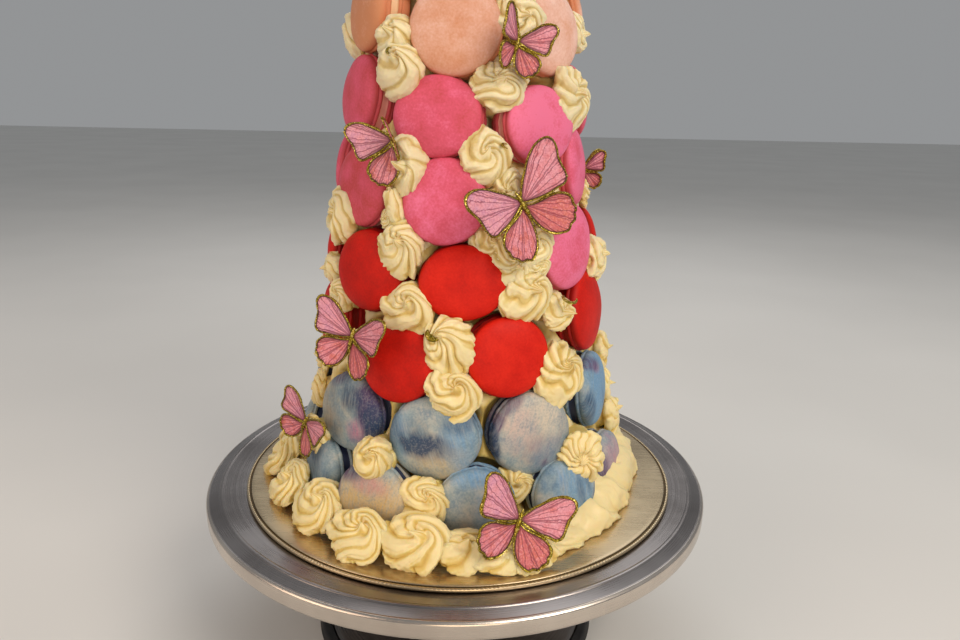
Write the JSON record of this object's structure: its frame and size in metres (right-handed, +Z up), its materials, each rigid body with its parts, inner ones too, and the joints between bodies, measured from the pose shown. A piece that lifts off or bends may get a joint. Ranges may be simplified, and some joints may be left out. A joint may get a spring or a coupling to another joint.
{
  "type": "macaron tower",
  "caption": "Tall cone of ringed macarons, red, pink, peach and marbled blue, with piped buttercream swirls and paper butterflies, on a foil board on a footed turning cake stand.",
  "frame": {"origin": "centre of the foot's underside, on the floor under the turntable's axis", "axes": "+Z up along the turntable's axis, the decorated front towards -Y, +X to the right as seen from the front"},
  "size_m": [0.3, 0.3, 0.5804],
  "materials": {
    "foot_rubber": "matt black rubber",
    "base_steel": "dull cast metal",
    "plate_aluminium": "turned, with fine rings",
    "foil_board": "embossed silver foil over board",
    "buttercream": "soft satin, ridged by the piping nozzle",
    "crown": "matt biscuit with satin buttercream",
    "macaron_marbled": "matt biscuit, painted in marbled blue and lilac",
    "macaron_red": "matt biscuit",
    "macaron_pink": "matt biscuit",
    "macaron_peach": "matt biscuit",
    "wafer_paper": "thin printed paper with a glittering gold edge"
  },
  "bodies": {
    "foot": {"base": "base_steel", "foot_ring": "foot_rubber"},
    "turntable": {"board": "foil_board", "buttercream": "buttercream", "butterfly_1": "wafer_paper", "butterfly_2": "wafer_paper", "butterfly_3": "wafer_paper", "butterfly_4": "wafer_paper", "butterfly_5": "wafer_paper", "butterfly_6": "wafer_paper", "butterfly_7": "wafer_paper", "butterfly_8": "wafer_paper", "crown": "crown", "macaron_1_1": "macaron_marbled", "macaron_1_2": "macaron_marbled", "macaron_1_3": "macaron_marbled", "macaron_1_4": "macaron_marbled", "macaron_1_5": "macaron_marbled", "macaron_2_1": "macaron_marbled", "macaron_2_2": "macaron_marbled", "macaron_2_3": "macaron_marbled", "macaron_2_4": "macaron_marbled", "macaron_3_1": "macaron_red", "macaron_3_2": "macaron_red", "macaron_3_3": "macaron_red", "macaron_3_4": "macaron_red", "macaron_3_5": "macaron_red", "macaron_3_6": "macaron_red", "macaron_3_7": "macaron_red", "macaron_3_8": "macaron_red", "macaron_4_1": "macaron_red", "macaron_4_2": "macaron_red", "macaron_4_3": "macaron_red", "macaron_4_4": "macaron_pink", "macaron_4_5": "macaron_red", "macaron_4_6": "macaron_red", "macaron_4_7": "macaron_red", "macaron_4_8": "macaron_red", "macaron_5_1": "macaron_pink", "macaron_5_2": "macaron_pink", "macaron_5_3": "macaron_pink", "macaron_5_4": "macaron_pink", "macaron_5_5": "macaron_pink", "macaron_5_6": "macaron_pink", "macaron_5_7": "macaron_pink", "macaron_6_1": "macaron_pink", "macaron_6_2": "macaron_pink", "macaron_6_3": "macaron_pink", "macaron_6_4": "macaron_pink", "macaron_6_5": "macaron_pink", "macaron_6_6": "macaron_pink", "macaron_6_7": "macaron_pink", "macaron_7_1": "macaron_peach", "macaron_7_2": "macaron_peach", "macaron_7_3": "macaron_peach", "macaron_7_4": "macaron_peach", "macaron_7_5": "macaron_peach", "macaron_7_6": "macaron_peach", "plate": "plate_aluminium"}
  },
  "joints": [
    {"name": "turntable_spin", "type": "hinge", "parent": "foot", "child": "turntable", "pos_m": [0, 0, 0.0922], "axis": [0, 0, 1], "continuous": true}
  ]
}
